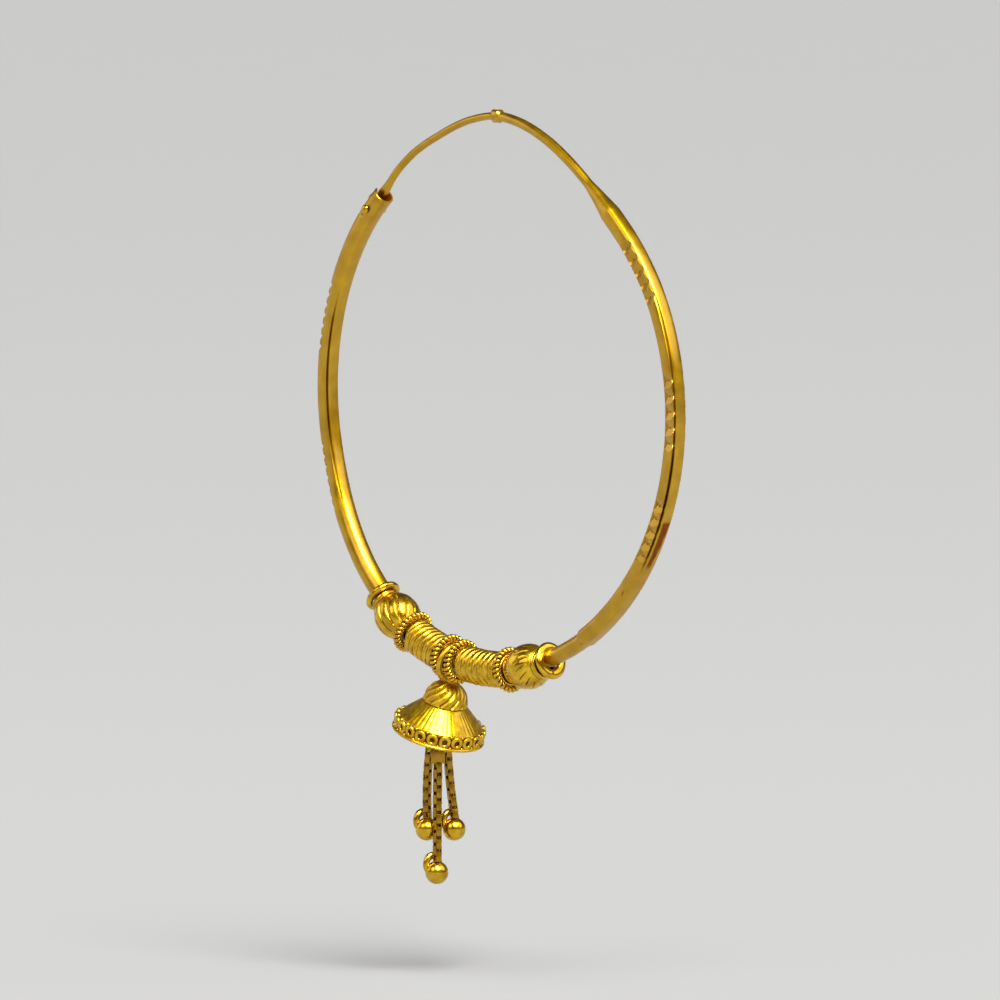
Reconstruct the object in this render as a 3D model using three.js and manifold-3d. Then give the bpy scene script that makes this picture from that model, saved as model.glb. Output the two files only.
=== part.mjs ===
// A gold hoop earring: a hollow hoop tube closed by a hinged ear wire, a row of threaded beads at the
// bottom, and a small bell drop with three chains. Millimetres, +Z up. The hoop lies in the XZ plane and
// its front faces -Y. The origin is on the ear wire, at the top, where the earring hangs in the ear.
// Angles round the hoop are in degrees from its top, clockwise as seen from the front.

import * as THREE from 'three';
import { mergeVertices } from 'three/addons/utils/BufferGeometryUtils.js';
import Module from 'manifold-3d';

const wasm = await Module();
wasm.setup();

// ---- Driving dimensions -------------------------------------------------------------------------

const HANG_ANGLE = -3.2;       // bare wire beside the mouth, where the ear carries the earring

const TUBE_HALF = 0.98;        // reach of the corners of the squared tube
const NECK_HALF = 0.8;         // radius of the plain tube under the beads
const SLIM_HALF = 0.47;        // radius of the slim tube of the arch
const LIP_HALF = 0.62;         // radius of the lip at its mouth
const TUBE_BORE = 0.58;        // radius of the hollow
const SLIM_BORE = 0.28;
const MOUTH_BORE = 0.42;
const COLLAR_BORE = 0.72;

const WIRE_RADIUS = 0.355;     // ear wire
const TONGUE_THICK = 0.5;      // flat tongue at its hinge
const EYE_RADIUS = 0.6;
const PIN_RADIUS = 0.24;
const HEAD_RADIUS = 0.46;
const HEAD_HEIGHT = 0.22;
const HEAD_GAP = 0.03;         // between a head and the collar
const FIT = 0.06;              // running gap round the pin

const MOUTH_ANGLE = -1.6;      // mouth of the slim tube
const COLLAR_ANGLE = 318.9;    // open end of the collar
const COLLAR_HALF = 1.0;       // radius of the collar
const PIN_ANGLE = 314.1;       // rivet

const BEAD_BORE = 1.2;         // radius of the holes of the threaded pieces
const BEAD_RADIUS = 2.15;
const BEAD_LENGTH = 4.3;
const BEAD_FLUTES = 12;
const ROPE_RADIUS = 2.2;
const ROPE_HALF_WIDTH = 0.38;
const COIL_RADIUS = 1.74;
const COIL_BEND = 25.3;        // the coils are bent to the curve of the tube
const END_RING_RADIUS = 1.48;  // to the middle of the wire
const END_RING_WIRE = 0.28;

const DROP_ANGLE = 194.5;      // where the loop of the drop sits on the hoop
const DROP_TILT = 198.5;       // direction of the axis of the bell, in the same angles
const LOOP_RADIUS = 1.83;
const LOOP_WIRE = 0.27;
const LOOP_SAG = 0.65;         // the loop hangs this far below the middle of the tube
const CAP_RADIUS = 2.2;        // dome over the bell
const SEAM_RADIUS = 2.08;
const BAND_RADIUS = 4.05;      // top of the rim band
const BELL_RADIUS = 4.5;       // widest part of the band
const RIM_RADIUS = 4.45;
const BELL_WALL = 0.28;
const CROWN_DROP = 2.52;       // each level of the bell, from the middle of the tube
const DOME_DROP = 4.65;
const SEAM_DROP = 4.73;
const BAND_DROP = 6.62;
const BELLY_DROP = 7.35;
const RIM_DROP = 8.05;
const INNER_EYE_DROP = 7.35;   // the eye inside the bell
const INNER_EYE_RADIUS = 0.52;
const INNER_EYE_WIRE = 0.17;

const CHAIN_RING_RADIUS = 1.15;
const CHAIN_RING_WIRE = 0.26;
const CHAIN_RING_SAG = 0.02;   // below the middle of its eye
const CHAIN_RADIUS = 0.43;
const CHAIN_TURN = 49;         // the chains fan out in a plane turned this far from the hoop's
const BALL_RADIUS = 1.05;
const BALL_RING_RADIUS = 0.7;
const BALL_RING_WIRE = 0.24;
const BALL_RING_TURN = 40;     // the ring of a ball is turned this far from the fan
const BALL_RING_OFFSET = [-0.4, 0.32, 0.72];
const CHAIN_END_OFFSET = [0.04, -0.28, 1.2];

// Centreline of the tube. It was bent by hand, so it is a little out of round, and its arch stands high.
const PATH_ROWS = [
  { at: -4, radius: 27.2 }, { at: 0, radius: 27.2 }, { at: 7, radius: 26.85 }, { at: 15, radius: 26.2 },
  { at: 23, radius: 25.5 }, { at: 31, radius: 24.95 }, { at: 40, radius: 24.62 }, { at: 50, radius: 24.72 },
  { at: 62, radius: 24.97 }, { at: 80, radius: 25.15 }, { at: 98, radius: 25.14 }, { at: 120, radius: 24.97 },
  { at: 140, radius: 24.81 }, { at: 165, radius: 24.8 }, { at: 186, radius: 25.0 }, { at: 203, radius: 25.29 },
  { at: 216, radius: 25.43 }, { at: 228, radius: 25.38 }, { at: 240, radius: 25.14 }, { at: 254, radius: 24.83 },
  { at: 272, radius: 24.9 }, { at: 292, radius: 25.06 }, { at: 308, radius: 25.23 }, { at: 321, radius: 25.25 },
];

// Outside of the tube along its length: half is the reach of its corners, square runs from a round
// section at 0 to a rounded square at 1, and flute is the depth of the groove along each corner.
const TUBE_ROWS = [
  { at: MOUTH_ANGLE, half: LIP_HALF, square: 0, flute: 0 },
  { at: 0.4, half: LIP_HALF, square: 0, flute: 0 },
  { at: 0.9, half: SLIM_HALF, square: 0, flute: 0 },
  { at: 31, half: SLIM_HALF, square: 0, flute: 0 },
  { at: 36, half: 0.72, square: 0.5, flute: 0 },
  { at: 40.5, half: TUBE_HALF, square: 1, flute: 0 },
  { at: 60, half: TUBE_HALF, square: 1, flute: 0 },
  { at: 70, half: TUBE_HALF, square: 1, flute: 0.14 },
  { at: 102, half: TUBE_HALF, square: 1, flute: 0.2 },
  { at: 127, half: TUBE_HALF, square: 1, flute: 0 },
  { at: 149.4, half: TUBE_HALF, square: 1, flute: 0 },
  { at: 151, half: NECK_HALF, square: 0, flute: 0 },
  { at: 220.1, half: NECK_HALF, square: 0, flute: 0 },
  { at: 220.3, half: 1.02, square: 0, flute: 0 },
  { at: 244, half: 1.02, square: 0, flute: 0 },
  { at: 254, half: TUBE_HALF, square: 1, flute: 0.16 },
  { at: 284, half: TUBE_HALF, square: 1, flute: 0.16 },
  { at: 292, half: TUBE_HALF, square: 0.5, flute: 0 },
  { at: 309, half: COLLAR_HALF, square: 0, flute: 0 },
  { at: COLLAR_ANGLE, half: COLLAR_HALF, square: 0, flute: 0 },
];
const FACE_INSET = 0.14;       // of the half width, where the section is square
const SHOULDER_INSET = 0.05;
const BORE_ROWS = [
  { at: MOUTH_ANGLE, half: MOUTH_BORE },
  { at: 0.4, half: MOUTH_BORE },
  { at: 0.9, half: SLIM_BORE },
  { at: 31, half: SLIM_BORE },
  { at: 40.5, half: TUBE_BORE },
  { at: 306, half: TUBE_BORE },
  { at: 309, half: COLLAR_BORE },
  { at: COLLAR_ANGLE, half: COLLAR_BORE },
];

// Groups of V cuts across the front and back faces of the right arm.
const CUT_GROUPS = [55.4, 88.4, 115.4];
const CUTS_PER_GROUP = 5;
const CUT_PITCH = 3.1;
const CUT_DEPTH = 0.16;

// Centreline of the ear wire, from the mouth of the collar to the top of the arch.
const WIRE_ROWS = [
  { at: -39.5, radius: 25.44 },
  { at: -37.4, radius: 25.68 },
  { at: -34.5, radius: 25.92 },
  { at: -28.4, radius: 26.22 },
  { at: -18.8, radius: 26.45 },
  { at: -9.8, radius: 26.95 },
  { at: HANG_ANGLE, radius: 27.2 },
];
const TIP_ANGLE = -2.02;       // middle of the wire's round tip, just outside the mouth

// The threaded pieces, by the angle of their middle. They hang on the tube, so each sags a little.
const END_RINGS = [
  { name: 'end_ring_left', at: 221.2, sag: 0.12 },
  { name: 'end_ring_right', at: 162.8, sag: 0.32 },
];
const BEADS = [
  { name: 'fluted_bead_left', at: 214.9, sag: 0.2, twist: 1 },
  { name: 'fluted_bead_right', at: 170.2, sag: 0.18, twist: -1 },
];
const ROPE_RINGS = [
  { name: 'rope_ring_1', at: 209.1 },
  { name: 'rope_ring_2', at: 196.65 },
  { name: 'rope_ring_3', at: 192.3 },
  { name: 'rope_ring_4', at: 176.15 },
];
const COILS = [
  { name: 'coil_left', at: 202.87, turns: 7, pitch: 0.655 },
  { name: 'coil_right', at: 184.22, turns: 8, pitch: 0.765 },
];
const THREAD_SAG = 0.28;

// Chains and balls in the hanging frame: x along the fan, y to its back, z up, from the inner eye.
const CHAINS = [
  { side: 'left', top: [-0.97, 0.1, -2.6], middle: [-1.17, 0.3, -6], ball: [-1.18, 0.5, -9.67] },
  { side: 'middle', top: [-0.13, -0.35, -2.7], middle: [-0.19, -0.55, -7.35], ball: [-0.24, -0.5, -13.72] },
  { side: 'right', top: [0.8, 0.1, -2.6], middle: [1.1, 0.25, -6], ball: [1.4, 0.4, -9.67] },
];

// ---- Materials ----------------------------------------------------------------------------------

const satinGold = () => new THREE.MeshStandardMaterial({ color: 0xd9a526, roughness: 0.32, metalness: 1 });
const brightGold = () => new THREE.MeshStandardMaterial({ color: 0xe6b02e, roughness: 0.2, metalness: 1 });

// ---- Places on the hoop -------------------------------------------------------------------------

const radians = THREE.MathUtils.degToRad;
const path = new THREE.CubicInterpolant(PATH_ROWS.map(row => row.at), PATH_ROWS.map(row => row.radius), 1);
const pathRadius = angle => path.evaluate(angle)[0];
const hoopCentre = new THREE.Vector3(
  -pathRadius(HANG_ANGLE) * Math.sin(radians(HANG_ANGLE)), 0,
  -pathRadius(HANG_ANGLE) * Math.cos(radians(HANG_ANGLE)));

function hoopPoint(angle, radius = pathRadius(angle)) {
  const a = radians(angle);
  return new THREE.Vector3(Math.sin(a), 0, Math.cos(a)).multiplyScalar(radius).add(hoopCentre);
}

// Direction of a piece square on the tube there, in the same angles.
function squareTo(angle) {
  const along = hoopPoint(angle + 1).sub(hoopPoint(angle - 1));
  return THREE.MathUtils.radToDeg(Math.atan2(-along.z, along.x));
}

// A group on the tube: its X runs along the tube and its Z points out from the hoop's middle.
function hoopSeat(angle, sag = 0, turn = squareTo(angle)) {
  const seat = new THREE.Group();
  seat.position.copy(hoopPoint(angle, pathRadius(angle) + sag));
  seat.rotation.y = radians(turn);
  return seat;
}

// ---- Mesh helpers -------------------------------------------------------------------------------

function signedVolume(geometry) {
  const p = geometry.attributes.position;
  const index = geometry.index.array;
  const [a, b, c] = [new THREE.Vector3(), new THREE.Vector3(), new THREE.Vector3()];
  let sum = 0;
  for (let i = 0; i < index.length; i += 3) {
    a.fromBufferAttribute(p, index[i]);
    b.fromBufferAttribute(p, index[i + 1]);
    c.fromBufferAttribute(p, index[i + 2]);
    sum += a.dot(b.cross(c)) / 6;
  }
  return sum;
}

// One closed skin with shared vertices, no spent faces, and every face pointing out.
function closed(source) {
  const plain = source.clone();
  plain.deleteAttribute('normal');
  plain.deleteAttribute('uv');
  const geometry = mergeVertices(plain, 1e-4);
  const index = geometry.index.array;
  const kept = [];
  for (let i = 0; i < index.length; i += 3) {
    const [a, b, c] = [index[i], index[i + 1], index[i + 2]];
    if (a !== b && b !== c && c !== a) kept.push(a, b, c);
  }
  geometry.setIndex(kept);
  if (signedVolume(geometry) < 0) geometry.setIndex(kept.reverse());
  return geometry;
}

function toSolid(source) {
  const geometry = closed(source);
  return new wasm.Manifold(new wasm.Mesh({
    numProp: 3,
    vertProperties: new Float32Array(geometry.attributes.position.array),
    triVerts: new Uint32Array(geometry.index.array),
  }));
}

function toGeometry(solid) {
  const mesh = solid.getMesh();
  const geometry = new THREE.BufferGeometry();
  geometry.setAttribute('position', new THREE.BufferAttribute(mesh.vertProperties, 3));
  geometry.setIndex(new THREE.BufferAttribute(mesh.triVerts, 1));
  return geometry;
}

function joined(...geometries) {
  return toGeometry(geometries.map(toSolid).reduce((whole, solid) => whole.add(solid)));
}

// A skin through rings of points that all have the same count, and back from the last to the first.
function loopedLoft(rings) {
  const count = rings[0].length;
  const index = [];
  for (let i = 0; i < rings.length; i++) {
    const next = (i + 1) % rings.length;
    for (let j = 0; j < count; j++) {
      const beside = (j + 1) % count;
      const [a, b, c, d] = [i * count + j, i * count + beside, next * count + beside, next * count + j];
      index.push(a, b, c, a, c, d);
    }
  }
  const geometry = new THREE.BufferGeometry().setFromPoints(rings.flat());
  geometry.setIndex(index);
  return closed(geometry);
}

function circleShape(radius, sides) {
  const points = [];
  for (let i = 0; i < sides; i++) {
    const a = 2 * Math.PI * (i + 0.5) / sides;
    points.push(new THREE.Vector2(radius * Math.cos(a), radius * Math.sin(a)));
  }
  return new THREE.Shape(points);
}

function sweptTube(curve, radius, sides, steps) {
  return closed(new THREE.ExtrudeGeometry(circleShape(radius, sides), {
    steps, extrudePath: curve, bevelEnabled: false,
  }));
}

// A turned ring about X from a profile of [radius, along] points that closes on itself.
function turned(profile, segments) {
  const points = profile.map(([radius, along]) => new THREE.Vector2(radius, along));
  const geometry = new THREE.LatheGeometry([...points, points[0]], segments);
  geometry.rotateZ(-Math.PI / 2);
  return closed(geometry);
}

// Bends a piece made along X round the hoop's middle, which is `radius` below it.
function bent(geometry, radius) {
  const p = geometry.attributes.position;
  for (let i = 0; i < p.count; i++) {
    const a = p.getX(i) / radius;
    const r = radius + p.getZ(i);
    p.setXYZ(i, r * Math.sin(a), p.getY(i), r * Math.cos(a) - radius);
  }
  return geometry;
}

function named(name, geometry, material) {
  const mesh = new THREE.Mesh(geometry, material);
  mesh.name = name;
  return mesh;
}

// ---- Hoop tube ----------------------------------------------------------------------------------

// The value of a table's column at an angle between its rows.
function valueAt(rows, column, angle) {
  const next = Math.max(1, rows.findIndex(row => row.at >= angle));
  const [a, b] = [rows[next - 1], rows[next]];
  return THREE.MathUtils.mapLinear(angle, a.at, b.at, a[column], b[column]);
}

function cutCentres() {
  const middle = (CUTS_PER_GROUP - 1) / 2;
  return CUT_GROUPS.flatMap(centre =>
    Array.from({ length: CUTS_PER_GROUP }, (_, i) => centre + (i - middle) * CUT_PITCH));
}

function cutDepth(angle) {
  const nearest = Math.min(...cutCentres().map(centre => Math.abs(angle - centre)));
  return CUT_DEPTH * Math.max(0, 1 - nearest / (CUT_PITCH / 2));
}

// Angles of the section's points: three on each face and one on each corner.
const FACE_POINTS = [-29, 0, 29];
const FACES = ['out', 'back', 'in', 'front'];

// The points of a section, given the reach of each from its place on the faces.
function section(angle, reach) {
  const seat = hoopSeat(angle);
  seat.updateMatrix();
  const ring = [];
  FACES.forEach((face, quarter) => {
    for (const degrees of [...FACE_POINTS, 45]) {
      const turn = radians(quarter * 90 + degrees);
      const point = new THREE.Vector3(0, Math.sin(turn), Math.cos(turn));
      ring.push(point.multiplyScalar(reach(face, degrees)).applyMatrix4(seat.matrix));
    }
  });
  return ring;
}

function outsideSection(angle) {
  const half = valueAt(TUBE_ROWS, 'half', angle);
  const square = valueAt(TUBE_ROWS, 'square', angle);
  return section(angle, (face, degrees) => {
    if (degrees === 45) return half - valueAt(TUBE_ROWS, 'flute', angle);
    const inset = degrees === 0 ? FACE_INSET : SHOULDER_INSET;
    const cut = face === 'front' || face === 'back' ? cutDepth(angle) : 0;
    return half * (1 - square * inset) - cut;
  });
}

function boreSection(angle) {
  return section(angle, () => valueAt(BORE_ROWS, 'half', angle));
}

function stations(step, needed) {
  const count = Math.round((COLLAR_ANGLE - MOUTH_ANGLE) / step);
  const list = [...needed];
  for (let i = 1; i < count; i++) {
    const angle = MOUTH_ANGLE + i * (COLLAR_ANGLE - MOUTH_ANGLE) / count;
    if (list.every(other => Math.abs(other - angle) > step / 3)) list.push(angle);
  }
  return [...new Set(list)].sort((a, b) => a - b);
}

function hoopTube() {
  const outsideStep = 7;
  const boreStep = 14;
  const cuts = cutCentres().flatMap(centre => [centre - CUT_PITCH / 2, centre]);
  const groupEnds = CUT_GROUPS.map(centre => centre + CUTS_PER_GROUP * CUT_PITCH / 2);
  const outside = stations(outsideStep, [...TUBE_ROWS.map(row => row.at), ...cuts, ...groupEnds]);
  const bore = stations(boreStep, BORE_ROWS.map(row => row.at));
  const rings = [...outside.map(outsideSection), ...bore.reverse().map(boreSection)];

  // The slot in the outer side of the collar lets the ear wire swing out, past the pin's own holes.
  const slotWidth = 0.94;
  const slotPastPin = 0.7;
  const pin = hoopSeat(PIN_ANGLE);
  pin.updateMatrix();
  const toMouth = hoopPoint(COLLAR_ANGLE).distanceTo(hoopPoint(PIN_ANGLE)) + 1;
  const slot = new THREE.BoxGeometry(toMouth + slotPastPin, slotWidth, 2);
  slot.translate((toMouth - slotPastPin) / 2, 0, 1).applyMatrix4(pin.matrix);
  const hole = new THREE.CylinderGeometry(PIN_RADIUS + FIT, PIN_RADIUS + FIT, 4, 12).applyMatrix4(pin.matrix);
  return toGeometry(toSolid(loopedLoft(rings)).subtract(toSolid(slot)).subtract(toSolid(hole)));
}

// ---- Hinge rivet and ear wire -------------------------------------------------------------------

// The pin lies along Y and carries a low dome on the front and the back of the collar.
function hingeRivet() {
  const face = COLLAR_HALF + HEAD_GAP;
  const rim = face + HEAD_HEIGHT / 2;
  const crown = face + HEAD_HEIGHT;
  const head = [[0, crown], [HEAD_RADIUS * 0.6, (crown * 2 + rim) / 3], [HEAD_RADIUS, rim],
    [HEAD_RADIUS, face], [PIN_RADIUS, face]];
  const otherHead = head.map(([radius, along]) => [radius, -along]).reverse();
  const profile = [...head, ...otherHead];
  return closed(new THREE.LatheGeometry(profile.map(([x, y]) => new THREE.Vector2(x, y)), 12));
}

function earWire() {
  const tip = hoopPoint(TIP_ANGLE);
  const rows = WIRE_ROWS.map(row => hoopPoint(row.at, row.radius));
  const curve = new THREE.CatmullRomCurve3([...rows, tip], false, 'centripetal');
  const wireSides = 8;
  const wire = sweptTube(curve, WIRE_RADIUS, wireSides, 24);
  const roundTip = new THREE.SphereGeometry(WIRE_RADIUS, wireSides, 5)
    .rotateZ(Math.PI / 2).translate(tip.x, tip.y, tip.z);

  // The tongue lies in the plane of the hoop: an eye round the rivet, widened where the wire joins it.
  const pin = hoopPoint(PIN_ANGLE);
  const mouth = rows[0].clone().sub(pin);
  const length = mouth.length() + 0.6;
  const outline = new THREE.Shape();
  outline.absarc(0, 0, EYE_RADIUS, radians(50), radians(310), false);
  outline.lineTo(length * 0.8, -WIRE_RADIUS);
  outline.lineTo(length, -WIRE_RADIUS * 0.6);
  outline.lineTo(length, WIRE_RADIUS * 0.6);
  outline.lineTo(length * 0.75, EYE_RADIUS * 0.95);
  const eyeHole = new THREE.Path();
  eyeHole.absarc(0, 0, PIN_RADIUS + FIT, 0, 2 * Math.PI, true);
  outline.holes.push(eyeHole);
  const tongue = new THREE.ExtrudeGeometry(outline, {
    depth: TONGUE_THICK, bevelEnabled: false, curveSegments: 8,
  });
  tongue.translate(0, 0, -TONGUE_THICK / 2).rotateX(Math.PI / 2);
  tongue.rotateY(-Math.atan2(mouth.z, mouth.x)).translate(pin.x, pin.y, pin.z);
  return joined(tongue, wire, roundTip);
}

// ---- Threaded pieces ----------------------------------------------------------------------------

function endRing() {
  return closed(new THREE.TorusGeometry(END_RING_RADIUS, END_RING_WIRE, 6, 20).rotateY(Math.PI / 2));
}

// A barrel with slanted flutes, deepest at its belly, on a plain bore.
function flutedBead(twist) {
  const half = BEAD_LENGTH / 2;
  const fluteDepth = 0.16;
  const fluteTurn = 0.35;
  const flutedHalf = half * 0.86;
  const side = [[BEAD_RADIUS, half * 0.2], [1.85, half * 0.6], [1.45, flutedHalf], [1.4, half],
    [BEAD_BORE, half]];
  const otherSide = side.map(([radius, along]) => [radius, -along]).reverse();
  const profile = [...otherSide, ...side];
  const geometry = turned(profile, 2 * BEAD_FLUTES);
  const p = geometry.attributes.position;
  for (let i = 0; i < p.count; i++) {
    const [x, y, z] = [p.getX(i), p.getY(i), p.getZ(i)];
    const reach = Math.hypot(y, z);
    const angle = Math.atan2(y, z);
    const belly = Math.max(0, 1 - Math.abs(x) / flutedHalf);
    const valley = Math.round(angle * BEAD_FLUTES / Math.PI) % 2 === 0 ? 1 : 0;
    const onBore = reach < BEAD_BORE + 0.01;
    const out = onBore ? reach : reach - valley * fluteDepth * Math.sqrt(belly);
    const turn = angle + (onBore ? 0 : twist * fluteTurn * x / half);
    p.setXYZ(i, x, out * Math.sin(turn), out * Math.cos(turn));
  }
  return geometry;
}

function ropeRing() {
  const [w, r] = [ROPE_HALF_WIDTH, ROPE_RADIUS];
  const bush = 0.25;
  return turned([[BEAD_BORE, -bush], [r - 2 * w, -bush], [r - 1.6 * w, -w], [r - 0.4 * w, -w], [r, -0.4 * w],
    [r, 0.4 * w], [r - 0.4 * w, w], [r - 1.6 * w, w], [r - 2 * w, bush], [BEAD_BORE, bush]], 20);
}

// The turns of wound wire touch, so the coil is one sleeve with a ridge for each turn.
function coil({ turns, pitch }) {
  const start = -turns * pitch / 2;
  const grooveDepth = 0.2;
  const groove = COIL_RADIUS - grooveDepth;
  const profile = [[BEAD_BORE, start]];
  for (let i = 0; i < turns; i++) {
    const along = start + i * pitch;
    profile.push([groove, along], [COIL_RADIUS, along + pitch / 2]);
  }
  profile.push([groove, -start], [BEAD_BORE, -start]);
  return bent(turned(profile, 18), COIL_BEND);
}

function threaded({ name, at }, sag, geometry, material) {
  const seat = hoopSeat(at, sag);
  seat.add(named(name, geometry, material));
  return seat;
}

// ---- Drop ---------------------------------------------------------------------------------------

// The dome's side of the bell's profile, for a skin that lies `inset` inside the outside.
function domeProfile(inset) {
  const arc = new THREE.Path().moveTo(0, CROWN_DROP + inset);
  arc.absellipse(0, DOME_DROP, CAP_RADIUS - inset, DOME_DROP - CROWN_DROP - inset, -Math.PI / 2, 0, false, 0);
  return arc.getPoints(4);
}

// The sheet bell and its dome are one wall, open below. Profile points are [radius, down the axis].
function bellShell() {
  const outside = [...domeProfile(0), new THREE.Vector2(SEAM_RADIUS, SEAM_DROP),
    new THREE.Vector2(BAND_RADIUS, BAND_DROP),
    new THREE.Vector2(BELL_RADIUS, BELLY_DROP),
    new THREE.Vector2(RIM_RADIUS, RIM_DROP)];
  const inside = [...domeProfile(BELL_WALL),
    new THREE.Vector2(BAND_RADIUS - BELL_WALL, BAND_DROP + BELL_WALL),
    new THREE.Vector2(BELL_RADIUS - BELL_WALL, BELLY_DROP),
    new THREE.Vector2(RIM_RADIUS - BELL_WALL, RIM_DROP)];
  return new THREE.LatheGeometry([...outside, ...inside.reverse()], 24).rotateX(Math.PI / 2);
}

// The loop round the tube, the dome, the bell and the post and eye inside it are soldered together.
function bell() {
  const loop = new THREE.TorusGeometry(LOOP_RADIUS, LOOP_WIRE, 6, 24)
    .rotateY(Math.PI / 2).translate(0, 0, LOOP_SAG);
  const postTop = CROWN_DROP + BELL_WALL / 3;
  const postEnd = INNER_EYE_DROP - INNER_EYE_RADIUS;
  const post = new THREE.CylinderGeometry(INNER_EYE_WIRE, INNER_EYE_WIRE, postEnd - postTop, 6)
    .rotateX(Math.PI / 2).translate(0, 0, (postTop + postEnd) / 2);
  const eye = new THREE.TorusGeometry(INNER_EYE_RADIUS, INNER_EYE_WIRE, 6, 12)
    .rotateY(Math.PI / 2).rotateZ(-radians(CHAIN_TURN)).translate(0, 0, INNER_EYE_DROP);
  return joined(bellShell(), loop, post, eye);
}

function chainRing() {
  return closed(new THREE.TorusGeometry(CHAIN_RING_RADIUS, CHAIN_RING_WIRE, 6, 20).rotateX(Math.PI / 2)
    .translate(0, 0, -CHAIN_RING_RADIUS - CHAIN_RING_SAG));
}

function chain({ top, middle, ball }) {
  const points = [top, middle, ball].map(point => new THREE.Vector3(...point));
  points[2].add(new THREE.Vector3(...CHAIN_END_OFFSET));
  const curve = new THREE.CatmullRomCurve3(points);
  const linkPitch = 1.25;
  return sweptTube(curve, CHAIN_RADIUS, 8, Math.round(curve.getLength() / linkPitch));
}

function ball({ ball: centre }) {
  const sphere = new THREE.SphereGeometry(BALL_RADIUS, 14, 9);
  const ring = new THREE.TorusGeometry(BALL_RING_RADIUS, BALL_RING_WIRE, 6, 14)
    .rotateX(Math.PI / 2).rotateZ(radians(BALL_RING_TURN)).translate(...BALL_RING_OFFSET);
  return joined(sphere, ring).translate(...centre);
}

// ---- Assembly -----------------------------------------------------------------------------------

const group = new THREE.Group();
group.add(named('hoop_tube', hoopTube(), satinGold()));
const pinSeat = hoopSeat(PIN_ANGLE);
pinSeat.add(named('hinge_rivet', hingeRivet(), brightGold()));
group.add(pinSeat);
group.add(named('ear_wire', earWire(), satinGold()));

for (const ring of END_RINGS) group.add(threaded(ring, ring.sag, endRing(), brightGold()));
for (const bead of BEADS) group.add(threaded(bead, bead.sag, flutedBead(bead.twist), brightGold()));
for (const ring of ROPE_RINGS) group.add(threaded(ring, THREAD_SAG, ropeRing(), brightGold()));
for (const sleeve of COILS) group.add(threaded(sleeve, THREAD_SAG, coil(sleeve), brightGold()));

const drop = hoopSeat(DROP_ANGLE, 0, DROP_TILT);
drop.add(named('bell', bell(), brightGold()));
group.add(drop);

// What hangs in the bell hangs plumb from its inner eye.
const hanging = new THREE.Group();
const axis = radians(DROP_TILT);
hanging.position.copy(hoopPoint(DROP_ANGLE))
  .addScaledVector(new THREE.Vector3(Math.sin(axis), 0, Math.cos(axis)), INNER_EYE_DROP);
hanging.rotation.z = radians(CHAIN_TURN);
hanging.add(named('chain_ring', chainRing(), brightGold()));
for (const row of CHAINS) {
  hanging.add(named(`chain_${row.side}`, chain(row), brightGold()));
  hanging.add(named(`ball_${row.side}`, ball(row), brightGold()));
}
group.add(hanging);

export default group;
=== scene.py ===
import random
from math import cos, radians, sin

import bpy
import numpy as np
from mathutils import Matrix, Vector


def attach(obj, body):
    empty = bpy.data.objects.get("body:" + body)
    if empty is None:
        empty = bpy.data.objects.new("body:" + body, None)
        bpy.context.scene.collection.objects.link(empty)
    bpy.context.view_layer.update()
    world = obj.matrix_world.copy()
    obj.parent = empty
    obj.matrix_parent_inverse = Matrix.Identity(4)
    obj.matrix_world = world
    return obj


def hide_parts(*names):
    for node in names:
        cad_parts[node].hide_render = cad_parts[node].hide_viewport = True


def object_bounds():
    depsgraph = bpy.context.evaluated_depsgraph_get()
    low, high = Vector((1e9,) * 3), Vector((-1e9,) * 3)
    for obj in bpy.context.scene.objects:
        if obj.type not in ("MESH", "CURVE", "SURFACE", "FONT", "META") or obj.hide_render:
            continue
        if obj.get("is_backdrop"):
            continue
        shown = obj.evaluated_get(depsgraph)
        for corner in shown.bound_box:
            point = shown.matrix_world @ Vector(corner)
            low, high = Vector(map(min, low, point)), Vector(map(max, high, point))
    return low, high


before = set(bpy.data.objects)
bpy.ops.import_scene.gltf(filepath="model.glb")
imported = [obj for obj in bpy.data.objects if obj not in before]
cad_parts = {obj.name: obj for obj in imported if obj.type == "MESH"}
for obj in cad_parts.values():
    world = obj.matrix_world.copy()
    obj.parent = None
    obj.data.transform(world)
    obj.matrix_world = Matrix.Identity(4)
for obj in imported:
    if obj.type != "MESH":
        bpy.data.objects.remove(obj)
cad_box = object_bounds()

# ---- Hoop tube ----------------------------------------------------------------------------------
# The hoop is a hollow tube of 22 carat gold, drawn square with rounded corners, chased with a groove
# along each corner and bent by hand. It is round and thinner under the beads, and slim over the ear.
# Angles round the hoop are in degrees from its top, clockwise from the front. Lengths are millimetres.

path_at = np.array([-4, 0, 7, 15, 23, 31, 40, 50, 62, 80, 98, 120, 140, 165, 186, 203, 216, 228, 240,
                    254, 272, 292, 308, 321], float)
path_radius = np.array([27.2, 27.2, 26.85, 26.2, 25.5, 24.95, 24.62, 24.72, 24.97, 25.15, 25.14, 24.97,
                        24.81, 24.8, 25.0, 25.29, 25.43, 25.38, 25.14, 24.83, 24.9, 25.06, 25.23, 25.25])
path_steps = np.diff(path_radius) / np.diff(path_at)
path_slopes = np.concatenate([path_steps[:1], (path_steps[1:] + path_steps[:-1]) / 2, path_steps[-1:]])


def hoop_radius(angle):
    i = np.clip(np.searchsorted(path_at, angle) - 1, 0, len(path_at) - 2)
    gap = path_at[i + 1] - path_at[i]
    t = (angle - path_at[i]) / gap
    return ((2 * t**3 - 3 * t**2 + 1) * path_radius[i] + (t**3 - 2 * t**2 + t) * gap * path_slopes[i]
            + (3 * t**2 - 2 * t**3) * path_radius[i + 1] + (t**3 - t**2) * gap * path_slopes[i + 1])


hang_angle = -3.2  # the ear carries the wire here, and this is the origin
hoop_middle = -hoop_radius(hang_angle) * np.array([sin(radians(hang_angle)), 0, cos(radians(hang_angle))])


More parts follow.
